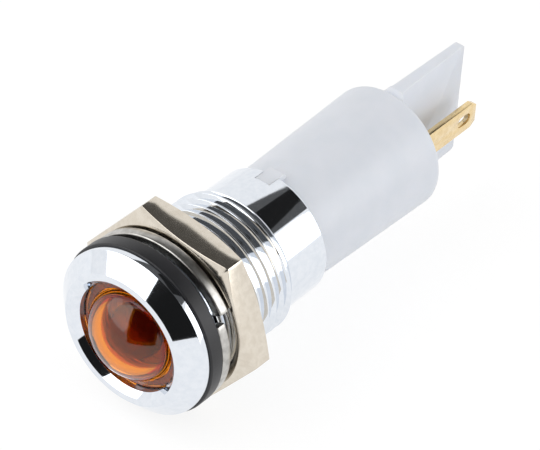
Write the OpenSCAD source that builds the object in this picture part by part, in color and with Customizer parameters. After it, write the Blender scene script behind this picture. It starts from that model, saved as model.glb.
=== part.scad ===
// Panel pilot light, 14 mm hole size, prominent bezel, domed amber lens.
// Frame: millimetres, the lamp's axis lies along Y with the lens facing -Y.
// The origin is on the axis, in the plane where the bezel's flange meets the gasket. +Z is up.

/* [Bezel] */
// Diameter of the bezel's flange
bezel_d = 16.2; // [15.4:0.1:18]
// Height of the flat lip in front of the seat plane
bezel_h = 2.1; // [1.9:0.1:3]
// Height of the flange's straight side
bezel_side_h = 0.65; // [0.4:0.05:0.9]
// Outer diameter of the flat lip
lip_d = 13; // [12.6:0.1:14]
// Diameter of the window that holds the lens
window_d = 10.62; // [10.4:0.02:10.8]
// Depth of the funnel that widens the window to the front
funnel_h = 0.55; // [0.3:0.05:0.6]
// Depth of the lens flange's face below the lip
window_depth = 1.15; // [0.8:0.05:1.3]
// Rounding of the flange's outer edge
bezel_edge = 0.12; // [0.05:0.01:0.2]

/* [Barrel] */
// Thread diameter, measured over the crests
thread_d = 14; // [13.8:0.1:14.6]
// Distance from one crest of the thread to the next
thread_pitch = 1; // [0.9:0.05:1.1]
// Plain neck between the flange and the middle of the thread's first crest, at least
thread_neck = 0.7; // [0.5:0.1:2]
// Distance from the seat plane to the end of the thread
thread_end = 12.9; // [11:0.1:14]
// Diameter of the plain barrel behind the thread
barrel_d = 12.6; // [12.3:0.05:12.8]
// Distance from the seat plane to the end of the barrel
barrel_end = 17.8; // [16:0.1:20]
// Wall of the barrel
barrel_wall = 0.55; // [0.45:0.05:0.65]
// Rounding of the barrel's rear edge
barrel_edge = 0.25; // [0.1:0.05:0.4]
// Thickness of the web between the lens and the bore
web_t = 1.25; // [1:0.05:1.6]
// Hole through the web that lets the light out
web_hole_d = 8.4; // [7.6:0.1:8.8]
// Width of the keyway in the barrel's rear end
keyway_w = 1.7; // [1.2:0.1:2]
// Length of the keyway
keyway_l = 1.4; // [1:0.1:2]
// Turn of the keyway from the top, towards -X
keyway_angle = 4; // [0:1:20]

/* [Lens] */
// Radius of the dome
dome_r = 4.92; // [4.8:0.02:5.2]
// Rise of the dome above the lens flange
dome_rise = 3.05; // [2.7:0.05:3.3]
// Wall of the dome
lens_wall = 1.1; // [0.8:0.05:1.2]
// Thickness of the lens flange
lens_flange_t = 0.9; // [0.7:0.05:1.1]
// Bore behind the dome
lens_bore_d = 6.8; // [6.6:0.1:7.2]
// Thickness of the seal behind the lens
lens_seal_t = 0.4; // [0.3:0.05:0.5]
// Width of the seal's ring
lens_seal_w = 0.7; // [0.5:0.05:0.9]

/* [Panel fixing] */
// Thickness of the panel gasket
gasket_t = 1.5; // [1:0.1:2]
// Outer diameter of the panel gasket
gasket_d = 16.6; // [16.4:0.1:18]
// Outer diameter of the lock washer
washer_d = 16.4; // [15.8:0.1:17]
// Thickness of the lock washer's section
washer_t = 1.05; // [0.8:0.05:1.2]
// Radial width of the lock washer's section
washer_w = 1; // [0.8:0.05:1.1]
// Axial offset between the two ends of the relaxed lock washer
washer_rise = 0.85; // [0.6:0.05:0.95]
// Gap at the lock washer's split, in degrees
washer_split = 5; // [3:1:10]
// Place of the split, in degrees from +X towards +Z
washer_angle = 29; // [0:1:90]
// Nut size across flats
nut_af = 17; // [17:0.5:19]
// Thickness of the nut
nut_t = 3; // [2:0.1:4]
// Diameter of the nut's flat faces, inside the corner chamfers
nut_face_d = 16.3; // [15.8:0.1:16.8]
// Slope of the corner chamfers, in degrees
nut_chamfer = 20; // [15:1:30]
// Place of one corner of the nut, in degrees from +X towards +Z
nut_angle = 52.5; // [30:0.5:90]

/* [Rear housing] */
// Distance from the seat plane to the housing's rear face
housing_end = 34.1; // [32:0.1:40]
// Diameter of the housing at its rear end
housing_d = 12.3; // [11.6:0.1:12.8]
// Wall of the housing's tube
housing_wall = 0.9; // [0.7:0.05:1]
// Thickness of the housing's end wall
end_wall_t = 2; // [1.5:0.1:3]
// Rounding of the housing's rear edge
housing_edge = 0.45; // [0.2:0.05:0.8]
// Length of the key behind the barrel
key_over = 1.2; // [0.6:0.1:2]
// Length of the barrier between the terminals
barrier_l = 10.1; // [8:0.1:12]
// Thickness of the barrier at its root
barrier_root_t = 1.25; // [1:0.05:1.5]
// Thickness of the barrier at its tip
barrier_tip_t = 0.85; // [0.7:0.05:1]
// Fillet between the barrier and the end wall
barrier_fillet = 1; // [0.5:0.1:1.1]
// Rounding of the barrier's outer corners
barrier_corner = 0.6; // [0.3:0.1:1]

/* [Terminals] */
// Distance of each terminal's middle from the barrier's middle
tab_x = 2.6; // [2.5:0.05:3]
// Width of a terminal's blade
tab_w = 2.8; // [2.4:0.1:3.2]
// Thickness of the terminals
tab_t = 0.6; // [0.5:0.05:0.8]
// Length of a terminal's blade behind the housing
tab_l = 9.3; // [7:0.1:10]
// Width of the chamfers at a blade's tip
tab_tip = 0.45; // [0.2:0.05:0.6]
// Length of the chamfers at a blade's tip
tab_tip_l = 0.65; // [0.4:0.05:1]
// Width of the oval hole in a blade
tab_hole_w = 1.1; // [0.9:0.05:1.3]
// Length of the oval hole
tab_hole_l = 1.8; // [1.5:0.1:2.5]
// Distance from a blade's tip to the middle of its hole
tab_hole_tip = 1.75; // [1.6:0.05:2.5]
// Width of the leg that goes through the end wall
leg_w = 1.2; // [1:0.05:1.4]
// Length of the leg that lies on the circuit board
leg_on_board = 2.4; // [1.5:0.1:2.6]

/* [Lamp and circuit] */
// Diameter of the LED
led_d = 5; // [4.8:0.1:5.4]
// Length of the LED from its flange to its tip
led_l = 8.6; // [8.2:0.1:8.8]
// Thickness of the LED's flange
led_flange_t = 1; // [0.8:0.1:1.2]
// Overhang of the LED's flange
led_flange_w = 0.4; // [0.3:0.05:0.6]
// Distance from the seat plane to the LED's tip, in front of it
led_reach = 2.5; // [2:0.1:2.6]
// Spacing of the LED's leads
led_pitch = 2.54; // [2.4:0.01:2.6]
// Side of the LED's square leads
lead_s = 0.5; // [0.4:0.05:0.6]
// Width of the anode's head inside the LED
anode_w = 0.7; // [0.6:0.05:0.8]
// Width of the cathode's cup inside the LED
cathode_w = 1.5; // [1:0.05:1.6]
// Height of the head and of the cup
lead_head_l = 1.2; // [0.8:0.1:1.4]
// Length of a lead inside the LED, up to its head
lead_cast_l = 2.2; // [1.6:0.1:2.4]
// Length of an LED lead that lies on the circuit board
lead_on_board = 2.2; // [1.6:0.1:2.6]
// Thickness of the LED holder's rim
holder_rim_t = 1.4; // [1:0.1:2]
// Diameter of the LED holder's hub
holder_hub_d = 7; // [6.4:0.1:8]
// Thickness of the circuit board
board_t = 1; // [0.8:0.1:1.2]
// Distance from the circuit board to the housing's end wall
board_end_gap = 0.8; // [0.4:0.1:1.2]
// Distance from the LED's flange to the circuit board
board_gap = 0.9; // [0.5:0.1:1.5]
// Diameter of the component wires
wire_d = 0.6; // [0.5:0.05:0.7]
// Length of a wire that stands out below the circuit board
wire_stub = 0.7; // [0.5:0.1:0.9]
// Distance from a component's body to the bend of its wire
wire_bend = 0.9; // [0.7:0.1:1]
// Diameter of the dropper resistors
resistor_d = 2.3; // [2:0.1:2.4]
// Length of a dropper resistor's body
resistor_l = 6.2; // [5:0.1:6.4]
// Gap between the dropper resistors
resistor_gap = 0.9; // [0.6:0.1:1.2]
// Diameter of the rectifier diode
diode_d = 2.6; // [2.2:0.1:2.8]
// Length of the rectifier diode's body
diode_l = 4.2; // [4:0.1:4.6]
// Diameter of the smoothing capacitor
capacitor_d = 3.8; // [3.4:0.1:4]
// Length of the smoothing capacitor
capacitor_l = 5; // [4:0.1:5.2]
// Spacing of the smoothing capacitor's wires
capacitor_pitch = 1.5; // [1.2:0.1:2]

/* [Fits] */
// Radial clearance of the nut on the thread
thread_fit = 0.05; // [0.02:0.01:0.1]
// Radial clearance of the parts that are pushed into the barrel
push_fit = 0.05; // [0.02:0.01:0.1]
// Radial clearance of the gasket on the thread
gasket_fit = 0.05; // [0.02:0.01:0.2]
// Clearance between the keyway and the key, and round a terminal's leg
slot_fit = 0.05; // [0.02:0.01:0.1]
// Gap between the lock washer and the gasket
washer_gap = 0.02; // [0.01:0.01:0.1]
// Gap between the relaxed lock washer and the nut
nut_gap = 0.18; // [0.02:0.02:0.3]
// Gap between the seal's edge and the window
seal_fit = 0.15; // [0.1:0.05:0.3]
// Radial clearance of a wire in the circuit board
wire_fit = 0.1; // [0.05:0.01:0.15]
// Gap between the circuit board's edges and the housing's bore
board_fit = 0.15; // [0.05:0.05:0.3]
// Height of the components above the circuit board
standoff = 0.15; // [0.1:0.05:0.3]

/* [Hidden] */
$fn = 72;
cut = 0.01;                 // overshoot of a cutting shape past the face that it opens
arc_steps = 10;             // straight steps in a quarter of a small rounding

// Bezel, barrel and lens, from the lip backwards
barrel_bore_d = barrel_d - 2 * barrel_wall;
lip_y = -bezel_h;
lens_floor_y = lip_y + window_depth;
lens_back_y = lens_floor_y + lens_flange_t;
web_front_y = lens_back_y + lens_seal_t;
web_back_y = web_front_y + web_t;
dome_y = lens_floor_y - dome_rise + dome_r;
lens_d = window_d - 2 * push_fit;

// Thread, in the proportions of the ISO metric profile
thread_crest_w = thread_pitch / 8;
thread_root_w = thread_pitch / 4;
thread_depth = 5 / 8 * thread_pitch * cos(30);
thread_core_r = thread_d / 2 - thread_depth;
last_crest_y = thread_end - (thread_d - barrel_d) / 2;
first_crest_y = last_crest_y - floor((last_crest_y - thread_neck) / thread_pitch) * thread_pitch;

// Panel fixing, from the flange backwards
washer_front_y = gasket_t + washer_gap;
washer_break = 0.18;        // broken edges of the lock washer's section
washer_overlap = 1;         // degrees by which its two halves run into each other
nut_front_y = washer_front_y + washer_rise + washer_t + nut_gap;
nut_back_y = nut_front_y + nut_t;
nut_corner_r = nut_af / 2 / cos(30);
nut_bore_d = thread_d + 2 * thread_fit;
nut_sink = 0.3;             // depth of the countersinks at the nut's bore

// Rear housing
housing_front_y = web_back_y + holder_rim_t;
spigot_d = barrel_bore_d - 2 * push_fit;
housing_bore_d = spigot_d - 2 * housing_wall;
end_wall_y = housing_end - end_wall_t;
key_w = keyway_w - 2 * slot_fit;
key_r = barrel_d / 2 - slot_fit;
key_slope = 0.5;            // length of the slope at the key's rear end
barrier_tip_y = housing_end + barrier_l;

// LED and its leads
led_flange_y = led_l - led_flange_t - led_reach;
led_back_y = led_flange_y + led_flange_t;
led_flange_d = led_d + 2 * led_flange_w;
lead_head_y = led_flange_y - lead_cast_l;
board_front_y = led_back_y + board_gap;
lead_end_y = board_front_y + lead_on_board;

// Circuit board and the rows of components on it
board_top_z = -lead_s / 2;
board_low_z = board_top_z - board_t;
board_back_y = end_wall_y - board_end_gap;
board_w = 2 * sqrt(pow(housing_bore_d / 2 - board_fit, 2) - pow(board_low_z, 2));
row_gap = 0.8;              // gap between one row of components and the next
leg_front_y = board_back_y - leg_on_board;
wire_root = 0.5;            // length of a wire inside its component's body
wire_edge = 1.2;            // distance from the diode's wires to the board's long edges
diode_y = lead_end_y + row_gap + diode_d / 2;
diode_z = board_top_z + standoff + diode_d / 2;
diode_wire_x = board_w / 2 - wire_edge;
capacitor_y = diode_y + diode_d / 2 + wire_bend + row_gap;
capacitor_z = board_top_z + standoff + capacitor_d / 2;
capacitor_wire_x = capacitor_pitch / 2;
capacitor_wire_y = capacitor_y - wire_bend;
resistor_x = (resistor_d + resistor_gap) / 2;
resistor_y = leg_front_y - row_gap - wire_bend - resistor_l;
resistor_z = board_top_z + standoff + resistor_d / 2;
resistor_wires = [resistor_y - wire_bend, resistor_y + resistor_l + wire_bend];
component_edge = 0.25;      // rounding of the diode's and the capacitor's ends
resistor_edge = 0.5;        // rounding of a resistor's ends

// Solder joints
solder_foot = 0.4;          // reach of a joint's foot past the metal that it holds
solder_crown = 0.08;        // reach of its top
solder_cover = 0.15;        // depth of solder over a flat lead
solder_over = 0.3;          // length of solder past the end of a lead
leg_solder_h = leg_w / 2;   // height of the joints at the terminals' legs

// Where each component wire goes through the circuit board
WIRES = [[-diode_wire_x, diode_y], [diode_wire_x, diode_y],
    [-capacitor_wire_x, capacitor_wire_y], [capacitor_wire_x, capacitor_wire_y],
    for (x = [-resistor_x, resistor_x], y = resistor_wires) [x, y]];

// Places children on the lamp's axis at y, with their own Z along +Y
module on_axis(y = 0) {
    translate([0, y, 0]) rotate([-90, 0, 0]) children();
}

// A solid disc or tube on the axis, between two places along it
module ring(d, y0, y1, bore = 0) {
    on_axis(y0) difference() {
        cylinder(d = d, h = y1 - y0);
        if (bore > 0) translate([0, 0, -cut]) cylinder(d = bore, h = y1 - y0 + 2 * cut);
    }
}

// A revolved profile of [radius, y] points
module turned(profile) {
    on_axis() rotate_extrude() polygon(profile);
}

// A box between two corners
module block(low, high) {
    translate(low) cube(high - low);
}

// Points of an arc about centre c
function arc(c, r, from, to) =
    [for (i = [0:arc_steps]) let (a = from + (to - from) * i / arc_steps) c + r * [cos(a), sin(a)]];

// ---- Metal body: bezel, thread and barrel turned from one bar ----

// One ring of the thread, which is drawn without its lead
function crest(y) =
    let (top = thread_crest_w / 2, foot = (thread_pitch - thread_root_w) / 2)
    [[thread_core_r, y - foot], [thread_d / 2, y - top], [thread_d / 2, y + top], [thread_core_r, y + foot]];

module bezel_body() {
    bore_r = barrel_bore_d / 2;
    color("lightsteelblue") difference() {
        turned(concat(
            [[window_d / 2, lip_y + funnel_h], [window_d / 2 + funnel_h, lip_y], [lip_d / 2, lip_y]],
            arc([bezel_d / 2 - bezel_edge, bezel_edge - bezel_side_h], bezel_edge, -45, 0),
            [[bezel_d / 2, 0], [thread_core_r, 0]],
            [for (y = [first_crest_y:thread_pitch:last_crest_y + cut]) each crest(y)],
            [[thread_core_r, thread_end - thread_core_r + barrel_d / 2], [barrel_d / 2, thread_end]],
            arc([barrel_d / 2 - barrel_edge, barrel_end - barrel_edge], barrel_edge, 0, 90),
            [[bore_r, barrel_end], [bore_r, web_back_y], [web_hole_d / 2, web_back_y],
             [web_hole_d / 2, web_front_y], [window_d / 2, web_front_y]]));
        rotate([0, -keyway_angle, 0])
            block([-keyway_w / 2, barrel_end - keyway_l, 0],
                  [keyway_w / 2, barrel_end + cut, barrel_d]);
    }
}

// ---- Lens: a hollow dome on a flange, with a flat seal behind it ----

module lens() {
    color("orange") difference() {
        union() {
            ring(lens_d, lens_floor_y, lens_back_y);
            intersection() {
                translate([0, dome_y, 0]) sphere(r = dome_r);
                ring(2 * dome_r, lens_floor_y - dome_rise - cut, lens_back_y);
            }
        }
        translate([0, dome_y, 0]) sphere(r = dome_r - lens_wall);
        ring(lens_bore_d, lens_floor_y + cut, lens_back_y + dome_r);
    }
}

module lens_seal() {
    seal_d = window_d - 2 * seal_fit;
    color("gainsboro") ring(seal_d, lens_back_y, web_front_y, bore = seal_d - 2 * lens_seal_w);
}

// ---- Panel fixing: gasket, split lock washer and nut ----

module panel_gasket() {
    color("dimgray") ring(gasket_d, 0, gasket_t, bore = thread_d + 2 * gasket_fit);
}

// The relaxed lock washer is two flat halves, each tilted about the point opposite the split,
// so that its two ends stand apart along the axis. Its edges are broken.
module washer_half(side) {
    r = washer_d / 2;
    bore = r - washer_w;
    b = washer_break;
    open = washer_split / 2;
    closed = 180 + washer_overlap;
    translate([-r, 0, 0]) rotate([0, side * atan(washer_rise / 2 / (2 * r)), 0]) translate([r, 0, 0])
        rotate([0, 0, side > 0 ? open : -closed]) rotate_extrude(angle = closed - open)
            translate([0, -washer_t / 2])
                polygon([[bore, b], [bore + b, 0], [r - b, 0], [r, b],
                    [r, washer_t - b], [r - b, washer_t], [bore + b, washer_t], [bore, washer_t - b]]);
}

module lock_washer() {
    color("silver") rotate([0, -washer_angle, 0])
        on_axis(washer_front_y + (washer_rise + washer_t) / 2) {
            washer_half(1);
            washer_half(-1);
        }
}

module hex_nut() {
    corner_drop = (nut_corner_r - nut_face_d / 2) * tan(nut_chamfer);
    color("darkgray") difference() {
        intersection() {
            rotate([0, -nut_angle, 0]) on_axis(nut_front_y) cylinder(r = nut_corner_r, h = nut_t, $fn = 6);
            turned([[0, nut_front_y], [nut_face_d / 2, nut_front_y],
                [nut_corner_r, nut_front_y + corner_drop], [nut_corner_r, nut_back_y - corner_drop],
                [nut_face_d / 2, nut_back_y], [0, nut_back_y]]);
        }
        turned([[0, nut_front_y - cut], [nut_bore_d / 2 + nut_sink + cut, nut_front_y - cut],
            [nut_bore_d / 2, nut_front_y + nut_sink], [nut_bore_d / 2, nut_back_y - nut_sink],
            [nut_bore_d / 2 + nut_sink + cut, nut_back_y + cut], [0, nut_back_y + cut]]);
    }
}

// ---- Rear housing: tube, end wall, key and barrier moulded in one piece ----

// The barrier's plate narrows from root to tip, and its outer corners are rounded
module barrier_plate() {
    half = housing_d / 2;
    foot = housing_end - housing_edge;
    root = barrier_root_t / 2;
    tip = barrier_tip_t / 2;
    corner_y = barrier_tip_y - barrier_corner;
    intersection() {
        translate([0, 0, -half]) linear_extrude(2 * half)
            polygon([[-root, foot], [root, foot], [tip, barrier_tip_y], [-tip, barrier_tip_y]]);
        rotate([0, -90, 0]) translate([0, 0, -half]) linear_extrude(2 * half)
            polygon(concat([[-half, foot], [half, foot]],
                arc([half - barrier_corner, corner_y], barrier_corner, 0, 90),
                arc([barrier_corner - half, corner_y], barrier_corner, 90, 180)));
        ring(housing_d, foot, barrier_tip_y);
    }
}

// The fillets that run along both sides of the barrier's root
module barrier_root() {
    flat_r = housing_d / 2 - housing_edge;
    reach = barrier_root_t / 2 + barrier_fillet;
    intersection() {
        translate([0, 0, -flat_r]) linear_extrude(2 * flat_r)
            for (side = [0, 1]) mirror([side, 0])
                polygon(concat([[0, housing_end - cut], [reach, housing_end - cut]],
                    arc([reach, housing_end + barrier_fillet], barrier_fillet, -90, -180),
                    [[0, housing_end + barrier_fillet]]));
        ring(2 * flat_r, housing_end - 2 * cut, barrier_tip_y);
    }
}

module key() {
    top = key_r;
    foot = spigot_d / 2 - housing_wall / 2;
    front = barrel_end - keyway_l + slot_fit;
    back = barrel_end + key_over;
    rotate([0, -keyway_angle, 0]) intersection() {
        translate([key_w / 2, 0, 0]) rotate([0, -90, 0]) linear_extrude(key_w)
            polygon([[foot, front], [top, front], [top, back - key_slope], [foot, back]]);
        ring(2 * top, front, back);
    }
}

module rear_housing() {
    outer = housing_d / 2;
    color("whitesmoke") difference() {
        union() {
            turned(concat(
                [[housing_bore_d / 2, housing_front_y], [spigot_d / 2, housing_front_y],
                 [spigot_d / 2, barrel_end]],
                arc([outer - housing_edge, housing_end - housing_edge], housing_edge, 0, 90),
                [[0, housing_end], [0, end_wall_y], [housing_bore_d / 2, end_wall_y]]));
            key();
            barrier_plate();
            barrier_root();
        }
        for (x = [-tab_x, tab_x])
            block([x - tab_t / 2 - slot_fit, end_wall_y - cut, board_top_z - slot_fit],
                  [x + tab_t / 2 + slot_fit, housing_end + cut, board_top_z + leg_w + slot_fit]);
    }
}

// ---- LED and its holder ----

module led_holder() {
    color("white") difference() {
        union() {
            ring(spigot_d, web_back_y, housing_front_y);
            ring(holder_hub_d, web_back_y, led_flange_y);
        }
        ring(led_d + 2 * push_fit, web_back_y - cut, led_flange_y + cut);
    }
}

// A square lead whose end inside the LED widens inwards to a head or a cup
module lead_frame(side, head_w) {
    x = side * led_pitch / 2;
    outer = lead_s / 2;
    inner = head_w - outer;
    block([x - outer, lead_head_y, -outer], [x + outer, lead_end_y, outer]);
    block([x - (side < 0 ? outer : inner), lead_head_y - lead_head_l, -outer],
          [x + (side < 0 ? inner : outer), lead_head_y, outer]);
}

module anode_frame() {
    lead_frame(1, anode_w);
}

module cathode_frame() {
    lead_frame(-1, cathode_w);
}

module led_anode() {
    color("gainsboro") anode_frame();
}

module led_cathode() {
    color("gainsboro") cathode_frame();
}

module led_body() {
    color("gold") difference() {
        union() {
            translate([0, led_d / 2 - led_reach, 0]) intersection() {
                sphere(d = led_d);
                ring(led_d, -led_d, 0);
            }
            ring(led_d, led_d / 2 - led_reach, led_back_y);
            ring(led_flange_d, led_flange_y, led_back_y);
        }
        anode_frame();
        cathode_frame();
        block([-led_d, led_flange_y - cut, -led_d], [-led_d / 2, led_back_y + cut, led_d]);
    }
}

// A solder joint of height h over metal of width w that lies on the circuit board
module flat_joint(x, w, h, y0, y1) {
    foot = w / 2 + solder_foot;
    crown = w / 2 + solder_crown;
    translate([0, y1, board_top_z]) rotate([90, 0, 0]) linear_extrude(y1 - y0) translate([x, 0])
        polygon([[-foot, 0], [foot, 0], [crown, h], [-crown, h]]);
}

module led_solder() {
    color("silver") difference() {
        for (side = [-1, 1])
            flat_joint(side * led_pitch / 2, lead_s, lead_s + solder_cover,
                board_front_y + solder_over, lead_end_y + solder_over);
        anode_frame();
        cathode_frame();
    }
}

// ---- Circuit board and its components ----

module circuit_board() {
    color("darkgreen") difference() {
        block([-board_w / 2, board_front_y, board_low_z], [board_w / 2, board_back_y, board_top_z]);
        for (w = WIRES)
            translate([w[0], w[1], board_low_z - cut])
                cylinder(d = wire_d + 2 * wire_fit, h = board_t + 2 * cut);
    }
}

// A wire that leaves a body at height z, runs to a bend and goes down through the board
module wire(from, bend) {
    run = bend - from;
    low = board_low_z - wire_stub;
    translate(from) rotate([0, 0, atan2(run[1], run[0])]) rotate([0, 90, 0])
        cylinder(d = wire_d, h = norm(run));
    translate(bend) sphere(d = wire_d);
    translate([bend[0], bend[1], low]) cylinder(d = wire_d, h = bend[2] - low);
}

// A round component body with its length along Y and rounded ends
module can(d, l, edge) {
    turned(concat([[0, 0]], arc([d / 2 - edge, edge], edge, -90, 0),
        arc([d / 2 - edge, l - edge], edge, 0, 90), [[0, l]]));
}

module rectifier_diode() {
    root_x = diode_l / 2 - wire_root;
    color("#202024") {
        translate([-diode_l / 2, diode_y, diode_z]) rotate([0, 0, -90])
            can(diode_d, diode_l, component_edge);
        for (side = [-1, 1])
            wire([side * root_x, diode_y, diode_z], [side * diode_wire_x, diode_y, diode_z]);
    }
}

module smoothing_capacitor() {
    color("midnightblue") {
        translate([0, capacitor_y, capacitor_z]) can(capacitor_d, capacitor_l, component_edge);
        for (x = [-capacitor_wire_x, capacitor_wire_x])
            wire([x, capacitor_y + wire_root, capacitor_z], [x, capacitor_wire_y, capacitor_z]);
    }
}

module dropper_resistor(side) {
    x = side * resistor_x;
    roots = [resistor_y + wire_root, resistor_y + resistor_l - wire_root];
    color("lightskyblue") {
        translate([x, resistor_y, resistor_z]) can(resistor_d, resistor_l, resistor_edge);
        for (i = [0, 1])
            wire([x, roots[i], resistor_z], [x, resistor_wires[i], resistor_z]);
    }
}

module dropper_resistor_1() {
    dropper_resistor(-1);
}

module dropper_resistor_2() {
    dropper_resistor(1);
}

// One cone of solder round each wire, below the board
module board_solder() {
    foot_d = wire_d + 2 * solder_foot;
    tip_d = wire_d + 2 * solder_crown;
    h = wire_stub - solder_crown;
    color("silver") for (w = WIRES)
        translate([w[0], w[1], board_low_z - h]) difference() {
            cylinder(d1 = tip_d, d2 = foot_d, h = h);
            translate([0, 0, -cut]) cylinder(d = wire_d, h = h + 2 * cut);
        }
}

// ---- Terminals ----

// The leg goes through the end wall and lies on the circuit board
module terminal_leg(x) {
    block([x - tab_t / 2, leg_front_y, board_top_z],
          [x + tab_t / 2, housing_end + cut, board_top_z + leg_w]);
}

module terminal(x) {
    tip = housing_end + tab_l;
    w = tab_w / 2;
    terminal_leg(x);
    translate([x - tab_t / 2, 0, 0]) rotate([90, 0, 90]) linear_extrude(tab_t) difference() {
        polygon([[housing_end, -w], [tip - tab_tip_l, -w], [tip, tab_tip - w],
            [tip, w - tab_tip], [tip - tab_tip_l, w], [housing_end, w]]);
        translate([tip - tab_hole_tip, 0]) {
            square([tab_hole_l - tab_hole_w, tab_hole_w], center = true);
            for (side = [-1, 1])
                translate([side * (tab_hole_l - tab_hole_w) / 2, 0]) circle(d = tab_hole_w);
        }
    }
}

module live_tab() {
    color("gold") terminal(tab_x);
}

module neutral_tab() {
    color("gold") terminal(-tab_x);
}

module tab_solder() {
    color("silver") difference() {
        for (side = [-1, 1])
            flat_joint(side * tab_x, tab_t, leg_solder_h,
                leg_front_y - solder_over, board_back_y - solder_over);
        terminal_leg(-tab_x);
        terminal_leg(tab_x);
    }
}

bezel_body();
lens();
lens_seal();
panel_gasket();
lock_washer();
hex_nut();
rear_housing();
led_holder();
led_body();
led_anode();
led_cathode();
led_solder();
circuit_board();
rectifier_diode();
smoothing_capacitor();
dropper_resistor_1();
dropper_resistor_2();
board_solder();
live_tab();
neutral_tab();
tab_solder();
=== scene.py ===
"""Looks of the panel pilot light: new meshes over the fixed frame, finishes, studio and camera."""

import logging
import math
from dataclasses import dataclass, field
from enum import Enum

import bmesh
import bpy
from mathutils import Matrix, Vector


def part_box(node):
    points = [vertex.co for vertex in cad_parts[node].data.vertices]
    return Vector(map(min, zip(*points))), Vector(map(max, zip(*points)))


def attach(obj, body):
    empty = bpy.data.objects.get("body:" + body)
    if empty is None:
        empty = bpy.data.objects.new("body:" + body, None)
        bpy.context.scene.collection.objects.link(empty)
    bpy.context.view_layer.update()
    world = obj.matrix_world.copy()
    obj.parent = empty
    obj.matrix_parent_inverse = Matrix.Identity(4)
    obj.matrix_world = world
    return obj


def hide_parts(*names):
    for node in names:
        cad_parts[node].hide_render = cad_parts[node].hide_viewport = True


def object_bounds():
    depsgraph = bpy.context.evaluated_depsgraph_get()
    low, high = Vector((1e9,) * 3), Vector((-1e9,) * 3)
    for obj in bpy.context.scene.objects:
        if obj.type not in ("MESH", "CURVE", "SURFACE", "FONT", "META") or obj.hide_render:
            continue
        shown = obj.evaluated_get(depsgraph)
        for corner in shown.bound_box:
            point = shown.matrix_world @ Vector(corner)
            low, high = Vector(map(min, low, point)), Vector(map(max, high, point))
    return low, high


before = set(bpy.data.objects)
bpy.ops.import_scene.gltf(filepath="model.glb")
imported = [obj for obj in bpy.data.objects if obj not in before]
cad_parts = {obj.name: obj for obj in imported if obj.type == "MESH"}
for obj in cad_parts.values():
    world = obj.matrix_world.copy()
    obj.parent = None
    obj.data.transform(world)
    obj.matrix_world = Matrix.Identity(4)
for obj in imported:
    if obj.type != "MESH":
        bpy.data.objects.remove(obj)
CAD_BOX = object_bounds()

LOG = logging.getLogger("pilot_light")
MM = 0.001
AXIS = Vector((0.0, 1.0, 0.0))
MERGE = 1e-7
# Steps in the full turn of a piece whose outline shows large.
FINE = 160


class Way(Enum):
    """The boolean operations that shape a piece."""

    JOIN = "UNION"
    CUT = "DIFFERENCE"
    KEEP = "INTERSECT"


# ---- Outlines -----------------------------------------------------------------------------


def rounded(corners: list[tuple[float, ...]], steps: int = 6) -> list[Vector]:
    """Turns corners into an outline with an arc at each corner that has a radius.

    Args:
        corners: (across, along, radius) in millimetres, with the radius left out on a sharp one.
        steps: straight steps in one arc.

    Returns:
        The outline's points, as two-dimensional vectors in millimetres.
    """
    count = len(corners)
    outline: list[Vector] = []
    for i, corner in enumerate(corners):
        here = Vector(corner[:2])
        radius = corner[2] if len(corner) > 2 else 0.0
        if radius <= 0:
            outline.append(here)
            continue
        back = (Vector(corners[i - 1][:2]) - here).normalized()
        ahead = (Vector(corners[(i + 1) % count][:2]) - here).normalized()
        half = back.angle(ahead) / 2
        centre = here + (back + ahead).normalized() * radius / math.sin(half)
        start = here + back * radius / math.tan(half) - centre
        end = here + ahead * radius / math.tan(half) - centre
        sweep = start.angle_signed(end)
        for k in range(steps + 1):
            outline.append(centre + Matrix.Rotation(-sweep * k / steps, 2) @ start)
    return outline


def arc(centre: tuple[float, float], radius: float, start: float, end: float, steps: int) -> list[tuple]:
    """Points of an arc about a centre.

    Args:
        centre: (across, along) in millimetres.
        radius: radius in millimetres.
        start: first angle in degrees, from across towards along.
        end: last angle in degrees.
        steps: straight steps in the arc.

    Returns:
        The points, as (across, along) in millimetres.
    """
    angles = (math.radians(start + (end - start) * k / steps) for k in range(steps + 1))
    return [(centre[0] + radius * math.cos(a), centre[1] + radius * math.sin(a)) for a in angles]


# ---- Bench: the operators that shape a mesh ---------------------------------------------------


def deselect_all() -> None:
    """Leaves nothing selected."""
    if bpy.context.object and bpy.context.object.mode != "OBJECT":
        bpy.ops.object.mode_set(mode="OBJECT")
    bpy.ops.object.select_all(action="DESELECT")


def pick(piece: bpy.types.Object) -> None:
    """Selects one object alone and makes it active."""
    deselect_all()
    piece.select_set(True)
    bpy.context.view_layer.objects.active = piece


def settle(piece: bpy.types.Object) -> bpy.types.Object:
    """Puts a piece's place into its mesh, so that its object sits at the origin.

    Args:
        piece: the object.

    Returns:
        The same object.
    """
    pick(piece)
    bpy.ops.object.transform_apply(location=True, rotation=True, scale=True)
    return piece


def clean(piece: bpy.types.Object) -> bpy.types.Object:
    """Merges doubles, fills what is open and turns every face outwards.

    Args:
        piece: the object, a closed shell or nearly one.

    Returns:
        The same object.
    """
    pick(piece)
    bpy.ops.object.mode_set(mode="EDIT")
    bpy.ops.mesh.select_all(action="SELECT")
    bpy.ops.mesh.remove_doubles(threshold=MERGE)
    bpy.ops.mesh.fill_holes(sides=0)
    bpy.ops.mesh.select_all(action="SELECT")
    bpy.ops.mesh.normals_make_consistent(inside=False)
    bpy.ops.object.mode_set(mode="OBJECT")
    return piece


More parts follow.
